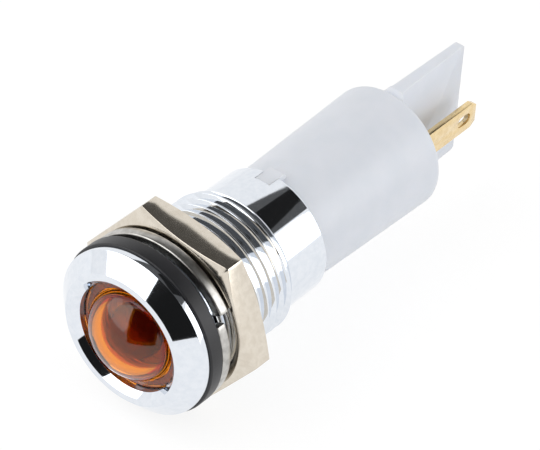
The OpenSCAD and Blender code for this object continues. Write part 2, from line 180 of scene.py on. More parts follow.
def trace(name: str, points: list[Vector]) -> bpy.types.Object:
    """Draws a closed outline by extruding one vertex from point to point.

    Args:
        name: the object's name.
        points: the outline's places in metres.

    Returns:
        The object, which holds a closed loop of edges.
    """
    deselect_all()
    bpy.ops.mesh.primitive_plane_add(size=MM)
    piece = bpy.context.object
    piece.name = name
    bpy.ops.object.mode_set(mode="EDIT")
    bpy.ops.mesh.select_mode(type="VERT")
    bpy.ops.mesh.select_all(action="SELECT")
    bpy.ops.mesh.merge(type="CENTER")
    bpy.ops.transform.translate(value=points[0])
    for before, after in zip(points, points[1:]):
        bpy.ops.mesh.extrude_vertices_move(TRANSFORM_OT_translate={"value": after - before})
    bpy.ops.mesh.select_all(action="SELECT")
    bpy.ops.mesh.remove_doubles(threshold=MERGE)
    ends = bmesh.from_edit_mesh(piece.data)
    for vertex in ends.verts:
        vertex.select = len(vertex.link_edges) == 1
    ends.select_flush_mode()
    bmesh.update_edit_mesh(piece.data)
    bpy.ops.mesh.edge_face_add()
    bpy.ops.object.mode_set(mode="OBJECT")
    return piece


def turned(name: str, outline: list, steps: int = 128) -> bpy.types.Object:
    """Turns a closed outline about the lamp's axis, as on a lathe.

    Args:
        name: the object's name.
        outline: (radius, place along the axis) in millimetres.
        steps: steps in the full turn.

    Returns:
        The closed solid.
    """
    piece = trace(name, [Vector((p[0], p[1], 0.0)) * MM for p in outline])
    bpy.ops.object.mode_set(mode="EDIT")
    bpy.ops.mesh.select_all(action="SELECT")
    bpy.ops.mesh.spin(steps=steps, angle=math.tau, center=(0, 0, 0), axis=AXIS)
    bpy.ops.object.mode_set(mode="OBJECT")
    return clean(piece)


def wound(name: str, outline: list, rise: float, turns: int, angle: float, steps: int) -> bpy.types.Object:
    """Winds a closed outline into a helix about the lamp's axis.

    Args:
        name: the object's name.
        outline: (radius, place along the axis) in millimetres.
        rise: advance over one run of the angle, in millimetres.
        turns: how many runs.
        angle: the angle of one run in degrees.
        steps: steps in one run.

    Returns:
        The closed solid with capped ends.
    """
    piece = trace(name, [Vector((p[0], p[1], 0.0)) * MM for p in outline])
    helix = piece.modifiers.new("helix", "SCREW")
    helix.axis = "Y"
    helix.angle = math.radians(angle)
    helix.screw_offset = rise * MM
    helix.iterations = turns
    helix.steps = helix.render_steps = steps
    pick(piece)
    bpy.ops.object.modifier_apply(modifier=helix.name)
    return clean(piece)


def plate(name: str, outline: list[Vector], thickness: Vector) -> bpy.types.Object:
    """Fills a closed outline and extrudes it into a plate.

    Args:
        name: the object's name.
        outline: places in metres, in one plane.
        thickness: the way and the distance to extrude, in metres.

    Returns:
        The closed solid.
    """
    piece = trace(name, outline)
    bpy.ops.object.mode_set(mode="EDIT")
    bpy.ops.mesh.select_all(action="SELECT")
    bpy.ops.mesh.edge_face_add()
    bpy.ops.mesh.extrude_region_move(TRANSFORM_OT_translate={"value": thickness})
    bpy.ops.object.mode_set(mode="OBJECT")
    return clean(piece)


def combine(piece: bpy.types.Object, tool: bpy.types.Object, way: Way) -> bpy.types.Object:
    """Joins, cuts or keeps a piece with a second solid, which is used up.

    Args:
        piece: the piece that is shaped.
        tool: the solid that shapes it.
        way: which operation.

    Returns:
        The shaped piece.
    """
    step = piece.modifiers.new("combine", "BOOLEAN")
    step.operation = way.value
    step.solver = "EXACT"
    step.object = tool
    pick(piece)
    bpy.ops.object.modifier_apply(modifier=step.name)
    bpy.data.objects.remove(tool)
    return clean(piece)


def eased(piece: bpy.types.Object, width: float, angle: float = 30.0, segments: int = 2) -> bpy.types.Object:
    """Breaks a piece's sharp edges with a small bevel.

    Args:
        piece: the piece.
        width: width of the bevel in millimetres.
        angle: edges sharper than this many degrees are broken.
        segments: segments across the bevel.

    Returns:
        The same piece.
    """
    edge = piece.modifiers.new("edges", "BEVEL")
    edge.width = width * MM
    edge.segments = segments
    edge.limit_method = "ANGLE"
    edge.angle_limit = math.radians(angle)
    edge.use_clamp_overlap = True
    edge.miter_outer = "MITER_ARC"
    pick(piece)
    bpy.ops.object.modifier_apply(modifier=edge.name)
    return piece


def smooth(piece: bpy.types.Object, angle: float = 32.0) -> bpy.types.Object:
    """Shades a piece smooth, apart from edges sharper than the angle.

    Args:
        piece: the piece.
        angle: degrees.

    Returns:
        The same piece.
    """
    pick(piece)
    bpy.ops.object.shade_smooth_by_angle(angle=math.radians(angle))
    return piece


# ---- Finishes -----------------------------------------------------------------------------


def linear(colour: str) -> tuple[float, float, float, float]:
    """Turns an sRGB hex colour into linear values.

    Args:
        colour: such as "#a0b0c0".

    Returns:
        Red, green, blue and an alpha of 1.
    """
    channels = [int(colour[i : i + 2], 16) / 255 for i in (1, 3, 5)]
    values = [c / 12.92 if c <= 0.04045 else ((c + 0.055) / 1.055) ** 2.4 for c in channels]
    return values[0], values[1], values[2], 1.0


def add_node(tree: bpy.types.NodeTree, kind: str, settings: dict | None = None, links: dict | None = None):
    """Adds a node with its settings and links.

    Args:
        tree: the node tree.
        kind: the node's type, such as "ShaderNodeMath".
        settings: values by input name or number, or by the node's own property name.
        links: output sockets by the input name or number that they feed.

    Returns:
        The node.
    """
    node = tree.nodes.new(kind)
    for name, value in (settings or {}).items():
        if isinstance(name, str) and hasattr(node, name):
            setattr(node, name, value)
        else:
            node.inputs[name].default_value = value
    for name, source in (links or {}).items():
        tree.links.new(source, node.inputs[name])
    return node


def new_material(name: str) -> tuple[bpy.types.Material, bpy.types.NodeTree]:
    """Makes an empty node material.

    Args:
        name: the real material's name.

    Returns:
        The material and its node tree.
    """
    material = bpy.data.materials.new(name)
    material.use_nodes = True
    material.node_tree.nodes.clear()
    return material, material.node_tree


def finish_material(tree: bpy.types.NodeTree, shader: bpy.types.Node) -> None:
    """Links a shader to the material's output."""
    add_node(tree, "ShaderNodeOutputMaterial", links={"Surface": shader.outputs[0]})


def dress(piece: bpy.types.Object, material: bpy.types.Material) -> None:
    """Gives a piece one material."""
    piece.data.materials.clear()
    piece.data.materials.append(material)


def steps_node(tree: bpy.types.NodeTree, source, stops: list[tuple[float, str]], constant: bool = False):
    """Adds a colour ramp with these stops.

    Args:
        tree: the node tree.
        source: the socket that drives the ramp.
        stops: (place, sRGB hex colour).
        constant: whether the colours change in hard steps.

    Returns:
        The ramp's colour output.
    """
    node = add_node(tree, "ShaderNodeValToRGB", links={0: source})
    ramp = node.color_ramp
    ramp.interpolation = "CONSTANT" if constant else "LINEAR"
    while len(ramp.elements) < len(stops):
        ramp.elements.new(0.5)
    for element, (place, colour) in zip(ramp.elements, stops):
        element.position = place
        element.color = linear(colour)
    return node.outputs["Color"]


@dataclass(frozen=True)
class TurnedMetal:
    """A plated metal that was turned on a lathe: mirror-like, with fine rings left by the tool."""

    name: str
    colour: str
    tint: str
    roughness: float
    ring_width: float = 0.12
    ring_depth: float = 0.0006
    grain_width: float = 0.6
    grain_depth: float = 0.0002
    rings_from: float = -100.0

    def material(self) -> bpy.types.Material:
        """Builds the plated metal.

        Returns:
            The material.
        """
        material, tree = new_material(self.name)
        place = add_node(tree, "ShaderNodeTexCoord").outputs["Object"]
        parts = add_node(tree, "ShaderNodeSeparateXYZ", links={0: place})
        # Rings depend on the place along the axis alone, as a lathe leaves them.
        along = add_node(tree, "ShaderNodeCombineXYZ", links={"Y": parts.outputs["Y"]})
        rings = add_node(
            tree,
            "ShaderNodeTexNoise",
            {"Scale": 1 / (self.ring_width * MM), "Detail": 3.0, "Roughness": 0.6},
            {"Vector": along.outputs[0]},
        )
        behind = add_node(
            tree,
            "ShaderNodeMath",
            {"operation": "GREATER_THAN", 1: self.rings_from * MM},
            {0: parts.outputs["Y"]},
        )
        ring_height = add_node(
            tree,
            "ShaderNodeMath",
            {"operation": "MULTIPLY"},
            {0: rings.outputs["Fac"], 1: behind.outputs[0]},
        )
        # A slow waviness, as thick plating has.
        grain = add_node(
            tree,
            "ShaderNodeTexNoise",
            {"Scale": 1 / (self.grain_width * MM), "Detail": 2.0},
            {"Vector": place},
        )
        turned_marks = add_node(
            tree,
            "ShaderNodeBump",
            {"Strength": 1.0, "Distance": self.ring_depth * MM},
            {"Height": ring_height.outputs[0]},
        )
        plating = add_node(
            tree,
            "ShaderNodeBump",
            {"Strength": 1.0, "Distance": self.grain_depth * MM},
            {"Height": grain.outputs["Fac"], "Normal": turned_marks.outputs[0]},
        )
        colour = steps_node(tree, grain.outputs["Fac"], [(0.35, self.tint), (0.65, self.colour)])
        shader = add_node(
            tree,
            "ShaderNodeBsdfPrincipled",
            {"Metallic": 1.0, "Roughness": self.roughness},
            {"Base Color": colour, "Normal": plating.outputs[0]},
        )
        finish_material(tree, shader)
        return material


@dataclass(frozen=True)
class Moulded:
    """A moulded or cast polymer: an even colour, faint clouding and a fine mould texture."""

    name: str
    colour: str
    cloud: str
    roughness: float
    ior: float = 1.5
    texture_width: float = 0.08
    texture_depth: float = 0.0015
    scatter: float = 0.0
    scatter_depth: float = 0.6
    coat: float = 0.0

    def material(self) -> bpy.types.Material:
        """Builds the polymer.

        Returns:
            The material.
        """
        material, tree = new_material(self.name)
        place = add_node(tree, "ShaderNodeTexCoord").outputs["Object"]
        clouds = add_node(
            tree, "ShaderNodeTexNoise", {"Scale": 1 / (2.5 * MM), "Detail": 3.0}, {"Vector": place}
        )
        texture = add_node(
            tree,
            "ShaderNodeTexNoise",
            {"Scale": 1 / (self.texture_width * MM), "Detail": 2.0},
            {"Vector": place},
        )
        bump = add_node(
            tree,
            "ShaderNodeBump",
            {"Strength": 1.0, "Distance": self.texture_depth * MM},
            {"Height": texture.outputs["Fac"]},
        )
        colour = steps_node(tree, clouds.outputs["Fac"], [(0.35, self.cloud), (0.65, self.colour)])
        shader = add_node(
            tree,
            "ShaderNodeBsdfPrincipled",
            {
                "Roughness": self.roughness,
                "IOR": self.ior,
                "Coat Weight": self.coat,
                "Coat Roughness": 0.05,
                "Subsurface Weight": self.scatter,
                "Subsurface Radius": (1.0, 0.95, 0.9),
                "Subsurface Scale": self.scatter_depth * MM,
            },
            {"Base Color": colour, "Normal": bump.outputs[0]},
        )
        finish_material(tree, shader)
        return material


@dataclass(frozen=True)
class ClearTinted:
    """A transparent tinted plastic or resin: polished, and deeper in colour where it is thicker."""

    name: str
    colour: str
    roughness: float
    ior: float
    waviness: float = 0.0004
    wave_width: float = 1.8

    def material(self) -> bpy.types.Material:
        """Builds the tinted plastic.

        Returns:
            The material.
        """
        material, tree = new_material(self.name)
        place = add_node(tree, "ShaderNodeTexCoord").outputs["Object"]
        waves = add_node(
            tree, "ShaderNodeTexNoise", {"Scale": 1 / (self.wave_width * MM), "Detail": 1.0}, {"Vector": place}
        )
        bump = add_node(
            tree,
            "ShaderNodeBump",
            {"Strength": 1.0, "Distance": self.waviness * MM},
            {"Height": waves.outputs["Fac"]},
        )
        shader = add_node(
            tree,
            "ShaderNodeBsdfPrincipled",
            {
                "Base Color": linear(self.colour),
                "Roughness": self.roughness,
                "IOR": self.ior,
                "Transmission Weight": 1.0,
            },
            {"Normal": bump.outputs[0]},
        )
        finish_material(tree, shader)
        return material


@dataclass(frozen=True)
class Banded:
    """A lacquered component body with coloured rings round it."""

    name: str
    ground: str
    metal: str
    bands: tuple[tuple[float, str], ...]
    start: float
    length: float
    centre_x: float
    centre_z: float
    roughness: float = 0.3

    def material(self) -> bpy.types.Material:
        """Builds the lacquer with its rings, and bright metal on the wires beyond the body.

        Returns:
            The material.
        """
        material, tree = new_material(self.name)
        place = add_node(tree, "ShaderNodeTexCoord").outputs["Object"]
        local = add_node(
            tree,
            "ShaderNodeMapping",
            {"Location": (-self.centre_x * MM, -self.start * MM, -self.centre_z * MM)},
            {"Vector": place},
        )
        parts = add_node(tree, "ShaderNodeSeparateXYZ", links={0: local.outputs[0]})
        share = add_node(
            tree,
            "ShaderNodeMath",
            {"operation": "DIVIDE", 1: self.length * MM},
            {0: parts.outputs["Y"]},
        )
        stops = [(0.0, self.ground)]
        for middle, colour in self.bands:
            stops += [(middle - 0.035, colour), (middle + 0.035, self.ground)]
        lacquer = steps_node(tree, share.outputs[0], stops, constant=True)
        inside = add_node(
            tree,
            "ShaderNodeMath",
            {"operation": "COMPARE", 1: 0.5, 2: 0.5},
            {0: share.outputs[0]},
        )
        colour = add_node(
            tree,
            "ShaderNodeMix",
            {"data_type": "RGBA", 6: linear(self.metal)},
            {0: inside.outputs[0], 7: lacquer},
        )
        bare = add_node(tree, "ShaderNodeMath", {"operation": "SUBTRACT", 0: 1.0}, {1: inside.outputs[0]})
        shader = add_node(
            tree,
            "ShaderNodeBsdfPrincipled",
            {"Roughness": self.roughness},
            {"Base Color": colour.outputs[2], "Metallic": bare.outputs[0]},
        )
        finish_material(tree, shader)
        return material


# Bright chromium over nickel on turned brass: nearly colourless, mirror-like, faintly blue.
CHROME = TurnedMetal(
    "chrome_plated_brass", colour="#e6eaf0", tint="#e0e5ec", roughness=0.05, rings_from=8.0
)
# Bright nickel on a hexagon bar nut: warmer and softer than chromium.
NICKEL = TurnedMetal(
    "nickel_plated_brass", colour="#ded6c9", tint="#d6cdbf", roughness=0.14, ring_depth=0.0004
)
# Spring steel with a thin zinc coat: light grey, dull, with drawing marks.
SPRING = TurnedMetal(
    "zinc_coated_spring_steel", colour="#c9c7c3", tint="#aeaca8", roughness=0.3, ring_depth=0.002
)
# Brass with a thin gold plate: pale yellow, satin from the stamping.
GOLD = TurnedMetal(
    "gold_plated_brass", colour="#f0d9ac", tint="#e8cd9a", roughness=0.2, ring_depth=0.0004
)
# Tinned copper leads: bright, soft grey.
TINNED = TurnedMetal("tinned_copper", colour="#d6d7d9", tint="#c3c5c8", roughness=0.22)
# Solder: bright grey with a soft skin.
SOLDER = TurnedMetal("tin_solder", colour="#cfd1d4", tint="#b4b7bb", roughness=0.3, grain_depth=0.004)
# Natural nylon, moulded: milky white, light spreads below its skin.
NYLON = Moulded(
    "natural_nylon", colour="#e9ecf3", cloud="#e5e9f0", roughness=0.38, scatter=0.6, scatter_depth=0.9
)
# Black nitrile rubber, cut from a moulded sheet: dark grey bloom, dull sheen.
RUBBER = Moulded(
    "nitrile_rubber",
    colour="#1d1d20",
    cloud="#242428",
    roughness=0.42,
    texture_width=0.1,
    texture_depth=0.004,
)
# Translucent silicone for the lens seal.
SILICONE = Moulded("silicone_rubber", colour="#d9d9d6", cloud="#cfcfcb", roughness=0.5, scatter=0.5)
# White polycarbonate holder behind the lens.
HOLDER = Moulded("white_polycarbonate", colour="#eceae4", cloud="#e2e0da", roughness=0.45)
# Glass-epoxy laminate with green solder resist.
LAMINATE = Moulded("glass_epoxy_laminate", colour="#1f6b3c", cloud="#1a5c33", roughness=0.35, coat=0.4)
# Black epoxy moulding compound of the diode.
EPOXY_BLACK = Moulded("black_epoxy", colour="#1b1b1e", cloud="#232326", roughness=0.5)
# Shrunk vinyl sleeve of the capacitor.
SLEEVE = Moulded("vinyl_sleeve", colour="#1d2a56", cloud="#24326a", roughness=0.3, coat=0.3)
# Amber polycarbonate, injection moulded and polished: glossy, transparent, deep orange.
AMBER = ClearTinted("amber_polycarbonate", colour="#f08a18", roughness=0.03, ior=1.58)
# Epoxy of the LED, tinted and slightly diffused.
LED_EPOXY = ClearTinted("tinted_led_epoxy", colour="#ffc47a", roughness=0.25, ior=1.5)


# ---- Sub-assemblies -----------------------------------------------------------------------


def span(node: str) -> tuple[Vector, Vector]:
    """Lowest and highest corner of a CAD node at rest, in millimetres."""
    low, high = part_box(node)
    return low / MM, high / MM


def stand_for(piece: bpy.types.Object, node: str, body: str) -> None:
    """Makes a new piece ride on a body and stand for a CAD node.

    Args:
        piece: the finished piece, in place.
        node: the CAD node that it replaces.
        body: the CAD body that carries it.
    """
    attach(piece, body)
    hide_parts(node)
    LOG.info("%s stands for %s, %d faces", piece.name, node, len(piece.data.polygons))


@dataclass
class MetalBody:
    """Bezel, threaded sleeve and barrel, turned from one bar and plated."""

    thread_d: float = 14.0
    pitch: float = 1.0
    thread_depth: float = 0.541
    crest_w: float = 0.125
    root_w: float = 0.25
    thread_end: float = 12.9
    barrel_d: float = 12.6
    barrel_wall: float = 0.55
    lip_d: float = 13.0
    window_d: float = 10.62
    funnel_h: float = 0.55
    side_h: float = 0.65
    web_d: float = 8.4
    web_front: float = 0.35
    web_back: float = 1.6
    keyway_w: float = 1.7
    keyway_l: float = 1.4
    keyway_angle: float = 4.0
    neck: float = 0.9
    lip_edge: float = 0.06
    funnel_edge: float = 0.04
    flange_edge: float = 0.1
    soft_edge: float = 0.08
    fine_edge: float = 0.05
    rear_edge: float = 0.25
    crest_edge: float = 0.06
    root_edge: float = 0.04
    root_sink: float = 0.08
    envelope_depth: float = 0.3
    bevel: float = 0.04
    low: Vector = field(init=False)
    high: Vector = field(init=False)

    def __post_init__(self) -> None:
        """Reads the flange's size and the body's length from the frame."""
        self.low, self.high = span("bezel_body")

    def shell(self) -> bpy.types.Object:
        """Turns the bezel, the thread's core and the barrel.

        Returns:
            The body without its thread and keyway.
        """
        flange = self.high.x
        barrel = self.barrel_d / 2
        bore = barrel - self.barrel_wall
        core = self.thread_d / 2 - self.thread_depth
        end = self.high.y
        chamfer_start = self.thread_end - (core - barrel)
        return turned(
            "chromed_bezel",
            rounded(
                [
                    (self.window_d / 2, self.low.y + self.funnel_h, self.funnel_edge),
                    (self.window_d / 2 + self.funnel_h, self.low.y, self.lip_edge),
                    (self.lip_d / 2, self.low.y, self.lip_edge),
                    (flange, -self.side_h, self.flange_edge),
                    (flange, 0.0, self.soft_edge),
                    (core, 0.0, self.soft_edge),
                    (core, chamfer_start),
                    (barrel, self.thread_end, self.fine_edge),
                    (barrel, end, self.rear_edge),
                    (bore, end, self.soft_edge),
                    (bore, self.web_back),
                    (self.web_d / 2, self.web_back, self.fine_edge),
                    (self.web_d / 2, self.web_front, self.fine_edge),
                    (self.window_d / 2, self.web_front),
                ]
            ),
            steps=FINE,
        )

    def thread(self) -> bpy.types.Object:
        """Winds the thread's ridge, then trims it to a chamfered envelope.

        Returns:
            The helical ridge, a little sunk into the core.
        """
        crest = self.thread_d / 2
        core = crest - self.thread_depth
        sunk = core - self.root_sink
        foot = (self.pitch - self.root_w) / 2
        top = self.crest_w / 2
        turns = math.ceil(self.thread_end / self.pitch) + 2
        ridge = wound(
            "thread",
            rounded(
                [
                    (sunk, -foot),
                    (core, -foot, self.root_edge),
                    (crest, -top, self.crest_edge),
                    (crest, top, self.crest_edge),
                    (core, foot, self.root_edge),
                    (sunk, foot),
                ],
                steps=3,
            ),
            self.pitch,
            turns,
            360.0,
            96,
        )
        inner = core - self.envelope_depth
        start = self.neck
        envelope = turned(
            "thread_envelope",
            [
                Vector((inner, start)),
                Vector((core, start)),
                Vector((crest, start + self.thread_depth)),
                Vector((crest + 0.01, self.thread_end - (crest - self.barrel_d / 2))),
                Vector((self.barrel_d / 2, self.thread_end)),
                Vector((inner, self.thread_end)),
            ],
            steps=FINE,
        )
        return combine(ridge, envelope, Way.KEEP)

    def keyway(self) -> bpy.types.Object:
        """Makes the cutter for the keyway in the barrel's rear end.

        Returns:
            The cutter.
        """
        deselect_all()
        bpy.ops.mesh.primitive_cube_add(size=1.0)
        cutter = bpy.context.object
        length = 2 * self.keyway_l
        cutter.matrix_world = (
            Matrix.Rotation(-math.radians(self.keyway_angle), 4, "Y")
            @ Matrix.Translation(Vector((0, self.high.y, self.barrel_d / 2)) * MM)
            @ Matrix.Diagonal((self.keyway_w * MM, length * MM, 3 * MM, 1.0))
        )
        return settle(cutter)

    def build(self) -> bpy.types.Object:
        """Builds and dresses the plated body.

        Returns:
            The piece.
        """
        piece = combine(self.shell(), self.keyway(), Way.CUT)
        piece = combine(piece, self.thread(), Way.JOIN)
        piece = smooth(eased(piece, self.bevel, angle=50.0), 28.0)
        dress(piece, CHROME.material())
        stand_for(piece, "bezel_body", "lamp")
        return piece


@dataclass
class PanelFixing:
    """Gasket, split lock washer and hexagon nut."""

    thread_d: float = 14.0
    washer_w: float = 1.0
    washer_t: float = 1.05
    washer_rise: float = 0.85
    washer_split: float = 5.0
    washer_angle: float = 29.0
    nut_af: float = 17.0
    nut_face_d: float = 16.3
    nut_chamfer: float = 20.0
    nut_angle: float = 52.5
    nut_bore_d: float = 14.1
    nut_sink: float = 0.3
    gasket_edge: float = 0.16
    gasket_bore_edge: float = 0.1
    washer_edge: float = 0.2
    washer_bore_edge: float = 0.14
    bevel: float = 0.05

    def gasket(self) -> bpy.types.Object:
        """Turns the rubber gasket, with soft edges.

        Returns:
            The piece.
        """
        low, high = span("panel_gasket")
        bore = self.thread_d / 2 + 0.05
        piece = turned(
            "rubber_gasket",
            rounded(
                [
                    (bore, low.y, self.gasket_bore_edge),
                    (high.x, low.y, self.gasket_edge),
                    (high.x, high.y, self.gasket_edge),
                    (bore, high.y, self.gasket_bore_edge),
                ]
            ),
        )
        smooth(piece)
        dress(piece, RUBBER.material())
        stand_for(piece, "panel_gasket", "lamp")
        return piece

    def washer(self) -> bpy.types.Object:
        """Winds the spring washer as one open turn with its ends apart.

        Returns:
            The piece.
        """
        low, high = span("lock_washer")
        outer = high.x
        open_angle = self.washer_split / 2
        piece = wound(
            "spring_washer",
            rounded(
                [
                    (outer - self.washer_w, low.y, self.washer_bore_edge),
                    (outer, low.y, self.washer_edge),
                    (outer, low.y + self.washer_t, self.washer_edge),
                    (outer - self.washer_w, low.y + self.washer_t, self.washer_bore_edge),
                ],
                steps=4,
            ),
            self.washer_rise,
            1,
            360.0 - self.washer_split,
            144,
        )
        piece.matrix_world = Matrix.Rotation(-math.radians(self.washer_angle - open_angle), 4, "Y")
        settle(piece)
        smooth(eased(piece, self.bevel, angle=60.0))
        dress(piece, SPRING.material())
        stand_for(piece, "lock_washer", "washer")
        return piece

    def nut(self) -> bpy.types.Object:
        """Cuts the nut from a hexagon bar: chamfered corners, bored and countersunk.

        Returns:
            The piece.
        """
        low, high = span("hex_nut")
        corner = self.nut_af / 2 / math.cos(math.radians(30))
        deselect_all()
        bpy.ops.mesh.primitive_cylinder_add(vertices=6, radius=corner * MM, depth=(high.y - low.y) * MM)
        piece = bpy.context.object
        piece.name = "hexagon_nut"
        piece.matrix_world = (
            Matrix.Translation(Vector((0, (low.y + high.y) / 2, 0)) * MM)
            @ Matrix.Rotation(math.radians(90), 4, "X")
            @ Matrix.Rotation(math.radians(self.nut_angle - 30), 4, "Z")
        )
        settle(piece)
        drop = (corner - self.nut_face_d / 2) * math.tan(math.radians(self.nut_chamfer))
        bore = self.nut_bore_d / 2
        face = self.nut_face_d / 2
        sink = self.nut_sink
        form = turned(
            "nut_form",
            [
                Vector(p)
                for p in (
                    (bore + sink, low.y),
                    (face, low.y),
                    (corner + 0.01, low.y + drop),
                    (corner + 0.01, high.y - drop),
                    (face, high.y),
                    (bore + sink, high.y),
                    (bore, high.y - sink),
                    (bore, low.y + sink),
                )
            ],
            steps=FINE,
        )
        combine(piece, form, Way.KEEP)
        smooth(eased(piece, self.bevel, angle=15.0), 25.0)
        dress(piece, NICKEL.material())
        stand_for(piece, "hex_nut", "nut")
        return piece

    def build(self) -> None:
        """Builds the three fixing pieces."""
        self.gasket()
        self.washer()
        self.nut()


@dataclass
class LensUnit:
    """The amber lens, its seal, and the LED behind it."""

    dome_r: float = 4.92
    wall: float = 1.1
    flange_t: float = 0.9
    bore_d: float = 6.8
    led_d: float = 5.0
    led_flange_t: float = 1.0
    flange_edge: float = 0.08
    back_edge: float = 0.05

    def lens(self) -> bpy.types.Object:
        """Turns the hollow dome on its flange.

        Returns:
            The piece.
        """
        low, high = span("lens")
        centre = low.y + self.dome_r
        floor = high.y - self.flange_t
        edge = high.x
        foot = math.degrees(math.asin((floor - centre) / self.dome_r))
        inner_r = self.dome_r - self.wall
        bore = self.bore_d / 2
        inner_foot = -math.degrees(math.acos(bore / inner_r))
        outline = arc((0.0, centre), self.dome_r, -90, foot, 28)
        front, back = self.flange_edge, self.back_edge
        outline += [(edge - front, floor), (edge, floor + front), (edge, high.y - back), (edge - back, high.y)]
        outline += [(bore + back, high.y), (bore, high.y - back)]
        outline += arc((0.0, centre), inner_r, inner_foot, -90, 22)
        piece = turned("amber_lens", outline, steps=96)
        smooth(piece, 40.0)
        dress(piece, AMBER.material())
        stand_for(piece, "lens", "lamp")
        return piece

    def led(self) -> bpy.types.Object:
        """Turns the LED's domed body.

        Returns:
            The piece.
        """
        low, high = span("led_body")
        r = self.led_d / 2
        rim = high.x
        step = high.y - self.led_flange_t
        outline = arc((0.0, low.y + r), r, -90, 0, 16)
        outline += [(r, step), (rim, step), (rim, high.y), (0.0, high.y)]
        piece = turned("led_dome", outline, steps=64)
        smooth(piece)
        dress(piece, LED_EPOXY.material())
        stand_for(piece, "led_body", "lamp")
        return piece

    def build(self) -> None:
        """Builds the lens and the LED, and dresses the seal and the holder."""
        self.lens()
        self.led()
        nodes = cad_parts
        dress(nodes["lens_seal"], SILICONE.material())
        dress(nodes["led_holder"], HOLDER.material())


@dataclass
class RearHousing:
    """The moulded nylon tube with its key and the barrier between the terminals."""

    spigot_d: float = 11.4
    bore_d: float = 9.6
    barrel_d: float = 12.6
    barrel_end: float = 17.8
    rear_d: float = 12.3
    rear_face: float = 34.1
    end_wall: float = 2.0
    rear_edge: float = 0.5
    key_w: float = 1.6
    key_over: float = 1.2
    key_l: float = 1.4
    key_angle: float = 4.0
    root_t: float = 1.25
    tip_t: float = 0.85
    fillet: float = 1.0
    corner: float = 0.6
    leg_x: float = 2.6
    leg_t: float = 0.7
    leg_low: float = -0.3
    leg_high: float = 1.0
    bevel: float = 0.06

    def tube(self) -> bpy.types.Object:
        """Turns the tube with its end wall.

        Returns:
            The tube.
        """
        low, _ = span("rear_housing")
        spigot = self.spigot_d / 2
        bore = self.bore_d / 2
        rear = self.rear_d / 2
        inner = self.rear_face - self.end_wall
        outline = rounded(
            [
                (bore, low.y),
                (spigot, low.y, 0.1),
                (spigot, self.barrel_end),
                (rear, self.rear_face, self.rear_edge),
                (0.0, self.rear_face),
                (0.0, inner),
                (bore, inner, 0.2),
            ],
            steps=8,
        )
        return turned("nylon_housing", outline, steps=FINE)

    def key(self) -> bpy.types.Object:
        """Extrudes the key that sits in the barrel's keyway.

        Returns:
            The key.
        """
        top = self.barrel_d / 2 - 0.04
        foot = self.spigot_d / 2 - 0.4
        front = self.barrel_end - self.key_l + 0.05
        back = self.barrel_end + self.key_over
        profile = rounded([(foot, front), (top, front, 0.12), (top, back - 0.5, 0.3), (foot, back)])
        half = self.key_w / 2
        outline = [Vector((-half, p.y, p.x)) * MM for p in profile]
        key = plate("key", outline, Vector((self.key_w * MM, 0, 0)))
        key.matrix_world = Matrix.Rotation(-math.radians(self.key_angle), 4, "Y")
        return settle(key)

    def barrier(self) -> bpy.types.Object:
        """Extrudes the barrier with its root fillets, then rounds it to the housing's outline.

        Returns:
            The barrier.
        """
        _, high = span("rear_housing")
        root, tip = self.root_t / 2, self.tip_t / 2
        face, top = self.rear_face, high.y
        reach = root + self.fillet
        half = self.rear_d / 2
        foot = face - 0.4
        side = arc((reach, face + self.fillet), self.fillet, -90, -180, 10)
        right = [(reach, foot)] + side + [(tip, top - 0.15), (tip - 0.15, top)]
        left = [(-x, y) for x, y in reversed(right)]
        outline = [Vector((x, y, 0)) * MM - Vector((0, 0, half * MM)) for x, y in right + left]
        barrier = plate("barrier", outline, Vector((0, 0, 2 * half * MM)))
        limit = turned(
            "barrier_limit",
            rounded(
                [
                    (0.0, foot + 0.01),
                    (half - self.rear_edge, foot + 0.01),
                    (half - self.rear_edge, face + 0.05),
                    (half, face + self.rear_edge),
                    (half, top, self.corner),
                    (0.0, top),
                ]
            ),
        )
        return combine(barrier, limit, Way.KEEP)

    def slots(self, piece: bpy.types.Object) -> bpy.types.Object:
        """Cuts the two slots that the terminals' legs go through.

        Args:
            piece: the housing.

        Returns:
            The cut housing.
        """
        for side in (-1, 1):
            deselect_all()
            bpy.ops.mesh.primitive_cube_add(size=1.0)
            cutter = bpy.context.object
            middle = Vector((side * self.leg_x, self.rear_face - 1, (self.leg_low + self.leg_high) / 2))
            size = Vector((self.leg_t, 4.0, self.leg_high - self.leg_low))
            cutter.matrix_world = Matrix.Translation(middle * MM) @ Matrix.Diagonal((*(size * MM), 1.0))
            piece = combine(piece, settle(cutter), Way.CUT)
        return piece

    def build(self) -> bpy.types.Object:
        """Builds and dresses the housing.

        Returns:
            The piece.
        """
        piece = combine(self.tube(), self.key(), Way.JOIN)
        piece = combine(piece, self.barrier(), Way.JOIN)
        piece = self.slots(piece)
        smooth(eased(piece, self.bevel, angle=48.0))
        dress(piece, NYLON.material())
        stand_for(piece, "rear_housing", "lamp")
        return piece


